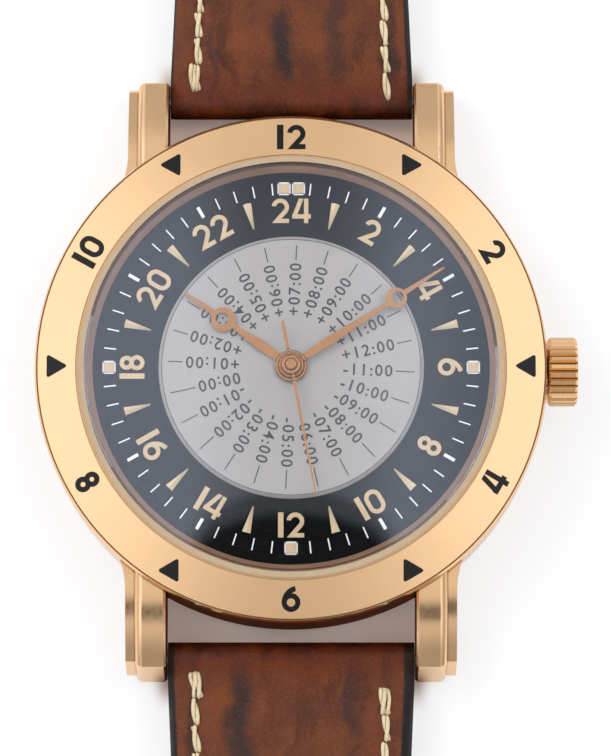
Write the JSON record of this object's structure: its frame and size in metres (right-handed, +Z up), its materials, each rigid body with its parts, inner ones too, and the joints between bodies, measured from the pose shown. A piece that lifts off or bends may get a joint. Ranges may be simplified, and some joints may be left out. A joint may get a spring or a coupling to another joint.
{
  "type": "world time watch",
  "caption": "Round wristwatch with a twenty-four hour ring, a turning centre disc for time zones, a bezel with figures, a domed crystal, a crown and a leather strap with a pin buckle.",
  "frame": {"origin": "centre of the case back's flat face, on the hands' axis", "axes": "+Z up through the dial, +Y to 12 o'clock along the open strap, +X to the crown at 3 o'clock"},
  "size_m": [0.0413, 0.2448, 0.0101],
  "materials": {
    "rose_gold": "polished rose gold case metal",
    "rose_gold_hands": "satin rose gold hands",
    "gilt_markers": "gilt applied dial markers",
    "black_enamel": "black enamel filling",
    "sapphire": "clear domed crystal with polished edge",
    "seal_rubber": "matt seal",
    "crystal_seal": "translucent crystal seal",
    "black_dial": "gloss black lacquered dial",
    "silver_dial": "matt silvered disc",
    "steel": "bright movement steel",
    "plate_brass": "rhodium and gilt movement plates",
    "wheel_brass": "gilt wheels",
    "blue_steel": "spring steel",
    "ruby": "ruby jewels",
    "strap_leather": "aged brown leather with dark edges and cream stitches",
    "keeper_leather": "brown leather loops"
  },
  "bodies": {
    "case": {"mid_case": "rose_gold", "bezel": "rose_gold", "bezel_enamel": "black_enamel", "crystal": "sapphire", "crystal_gasket": "crystal_seal", "rehaut_ring": "rose_gold", "case_back": "rose_gold", "case_back_gasket": "seal_rubber", "spring_bars": "steel", "crown_tube": "rose_gold", "dial_plate": "black_dial", "hour_numerals": "gilt_markers", "hour_wedges": "gilt_markers", "square_markers": "gilt_markers", "jewels": "ruby", "main_plate": "plate_brass", "train_bridge": "plate_brass", "balance_cock": "plate_brass", "automatic_bridge": "plate_brass", "movement_ring": "plate_brass", "bridge_screws": "blue_steel", "rotor_bearing": "steel", "hairspring": "blue_steel"},
    "minutes": {"cannon_pinion": "steel", "minute_hand": "rose_gold_hands"},
    "hours": {"hour_wheel": "wheel_brass", "hour_hand": "rose_gold_hands"},
    "cities": {"city_wheel": "wheel_brass", "city_disc": "silver_dial"},
    "minute_wheel": {"minute_wheel": "wheel_brass"},
    "setting_wheel": {"setting_wheel": "steel"},
    "seconds": {"fourth_wheel": "wheel_brass", "seconds_hand": "rose_gold_hands"},
    "third_wheel": {"third_wheel": "wheel_brass"},
    "centre_wheel": {"centre_wheel": "wheel_brass"},
    "barrel": {"barrel": "wheel_brass", "mainspring": "blue_steel"},
    "escape_wheel": {"escape_wheel": "steel"},
    "pallet_fork": {"pallet_fork": "steel"},
    "balance": {"balance_wheel": "wheel_brass"},
    "rotor": {"rotor": "plate_brass"},
    "reversing_wheel": {"reversing_wheel": "wheel_brass"},
    "reduction_wheel": {"reduction_wheel": "wheel_brass"},
    "winding_pinion": {"winding_pinion": "steel"},
    "crown": {"crown": "rose_gold", "crown_gasket": "seal_rubber", "winding_stem": "steel"},
    "clutch": {"clutch_wheel": "steel"},
    "crown_wheel": {"crown_wheel": "steel"},
    "ratchet": {"ratchet_wheel": "steel"},
    "click": {"click": "steel"},
    "setting_lever": {"setting_lever": "steel"},
    "yoke": {"yoke": "steel"},
    "strap_buckle_half": {"strap_12": "strap_leather", "buckle_bar": "steel", "fixed_keeper": "keeper_leather"},
    "strap_tail_half": {"strap_6": "strap_leather"},
    "buckle": {"buckle_frame": "rose_gold"},
    "tongue": {"buckle_tongue": "rose_gold"},
    "free_keeper": {"free_keeper": "keeper_leather"}
  },
  "joints": [
    {"name": "set_minutes", "type": "hinge", "parent": "case", "child": "minutes", "pos_m": [0, 0, 0.0057], "axis": [0, 0, -1], "continuous": true},
    {"name": "hour_turn", "type": "hinge", "parent": "case", "child": "hours", "pos_m": [0, 0, 0.0059], "axis": [0, 0, -1], "continuous": true},
    {"name": "city_turn", "type": "hinge", "parent": "case", "child": "cities", "pos_m": [0, 0, 0.0062], "axis": [0, 0, -1], "continuous": true},
    {"name": "minute_wheel_turn", "type": "hinge", "parent": "case", "child": "minute_wheel", "pos_m": [0.00282, -0.00103, 0.0057], "axis": [0, 0, -1], "continuous": true},
    {"name": "setting_wheel_turn", "type": "hinge", "parent": "case", "child": "setting_wheel", "pos_m": [0.00596, -0.00018, 0.0057], "axis": [0, 0, -1], "continuous": true},
    {"name": "seconds_turn", "type": "hinge", "parent": "case", "child": "seconds", "pos_m": [0, 0, 0.0028], "axis": [0, 0, -1], "continuous": true},
    {"name": "third_turn", "type": "hinge", "parent": "case", "child": "third_wheel", "pos_m": [-0.00423, -0.00154, 0.003], "axis": [0, 0, -1], "continuous": true},
    {"name": "centre_turn", "type": "hinge", "parent": "case", "child": "centre_wheel", "pos_m": [0, 0, 0.0034], "axis": [0, 0, -1], "continuous": true},
    {"name": "barrel_turn", "type": "hinge", "parent": "case", "child": "barrel", "pos_m": [0.00215, 0.00592, 0.004], "axis": [0, 0, -1], "continuous": true},
    {"name": "escape_turn", "type": "hinge", "parent": "case", "child": "escape_wheel", "pos_m": [0.00113, -0.0042, 0.0037], "axis": [0, 0, -1], "continuous": true},
    {"name": "pallet_swing", "type": "hinge", "parent": "case", "child": "pallet_fork", "pos_m": [0.00184, -0.00686, 0.0037], "axis": [0, 0, -1], "range_deg": [-6, 6]},
    {"name": "balance_swing", "type": "hinge", "parent": "case", "child": "balance", "pos_m": [0.0022, -0.00821, 0.0033], "axis": [0, 0, -1], "range_deg": [-270, 270]},
    {"name": "rotor_spin", "type": "hinge", "parent": "case", "child": "rotor", "pos_m": [0, 0, 0.0015], "axis": [0, 0, -1], "continuous": true},
    {"name": "reversing_turn", "type": "hinge", "parent": "case", "child": "reversing_wheel", "pos_m": [0.00257, 0.00216, 0.0018], "axis": [0, 0, -1], "continuous": true},
    {"name": "reduction_turn", "type": "hinge", "parent": "case", "child": "reduction_wheel", "pos_m": [0.00332, 0.00496, 0.0021], "axis": [0, 0, -1], "continuous": true},
    {"name": "crown_turn", "type": "hinge", "parent": "case", "child": "winding_pinion", "pos_m": [0.009, 0, 0.0049], "axis": [1, 0, 0], "continuous": true},
    {"name": "crown_pull", "type": "slide", "parent": "winding_pinion", "child": "crown", "axis": [1, 0, 0], "range_m": [0, 0.001]},
    {"name": "clutch_slide", "type": "slide", "parent": "winding_pinion", "child": "clutch", "axis": [1, 0, 0], "range_m": [-0.00035, 0]},
    {"name": "crown_wheel_turn", "type": "hinge", "parent": "case", "child": "crown_wheel", "pos_m": [0.0073, 0, 0.0032], "axis": [0, 0, 1], "continuous": true},
    {"name": "ratchet_turn", "type": "hinge", "parent": "case", "child": "ratchet", "pos_m": [0.00215, 0.00592, 0.0032], "axis": [0, 0, 1], "continuous": true},
    {"name": "click_swing", "type": "hinge", "parent": "case", "child": "click", "pos_m": [-0.00248, 0.0086, 0.0032], "axis": [0, 0, 1], "range_deg": [0, 8]},
    {"name": "setting_lever_swing", "type": "hinge", "parent": "case", "child": "setting_lever", "pos_m": [0.0112, 0.0024, 0.006], "axis": [0, 0, 1], "range_deg": [0, 24.7]},
    {"name": "yoke_swing", "type": "hinge", "parent": "case", "child": "yoke", "pos_m": [0.0084, -0.0031, 0.006], "axis": [0, 0, 1], "range_deg": [0, 9]},
    {"name": "strap_buckle_side", "type": "hinge", "parent": "case", "child": "strap_buckle_half", "pos_m": [0, 0.0218, 0.0019], "axis": [-1, 0, 0], "range_deg": [-20, 85]},
    {"name": "strap_tail_side", "type": "hinge", "parent": "case", "child": "strap_tail_half", "pos_m": [0, -0.0218, 0.0019], "axis": [1, 0, 0], "range_deg": [-20, 85]},
    {"name": "buckle_swing", "type": "hinge", "parent": "strap_buckle_half", "child": "buckle", "pos_m": [0, 0.0968, 0.00175], "axis": [1, 0, 0], "range_deg": [-80, 50]},
    {"name": "tongue_swing", "type": "hinge", "parent": "buckle", "child": "tongue", "pos_m": [0, 0.0968, 0.00175], "axis": [1, 0, 0], "range_deg": [0, 85]},
    {"name": "free_keeper_slide", "type": "slide", "parent": "strap_buckle_half", "child": "free_keeper", "axis": [0, 1, 0], "range_m": [-0.014, 0.009]}
  ],
  "couplings": [
    {"joint": "hour_turn", "follows": "set_minutes", "ratio": 0.083333},
    {"joint": "city_turn", "follows": "set_minutes", "ratio": 0.041667},
    {"joint": "minute_wheel_turn", "follows": "set_minutes", "ratio": -0.33333},
    {"joint": "setting_wheel_turn", "follows": "set_minutes", "ratio": 0.75},
    {"joint": "third_turn", "follows": "seconds_turn", "ratio": -0.125},
    {"joint": "centre_turn", "follows": "seconds_turn", "ratio": 0.016667},
    {"joint": "barrel_turn", "follows": "seconds_turn", "ratio": -0.0020833},
    {"joint": "escape_turn", "follows": "seconds_turn", "ratio": -10},
    {"joint": "reversing_turn", "follows": "rotor_spin", "ratio": -0.33333},
    {"joint": "reduction_turn", "follows": "rotor_spin", "ratio": 0.069444},
    {"joint": "crown_wheel_turn", "follows": "crown_turn", "ratio": 0.5},
    {"joint": "ratchet_turn", "follows": "crown_turn", "ratio": -0.35185},
    {"joint": "clutch_slide", "follows": "crown_pull", "ratio": -0.35},
    {"joint": "setting_lever_swing", "follows": "crown_pull", "rad_per_m": 429.35},
    {"joint": "yoke_swing", "follows": "crown_pull", "rad_per_m": 156.21}
  ]
}
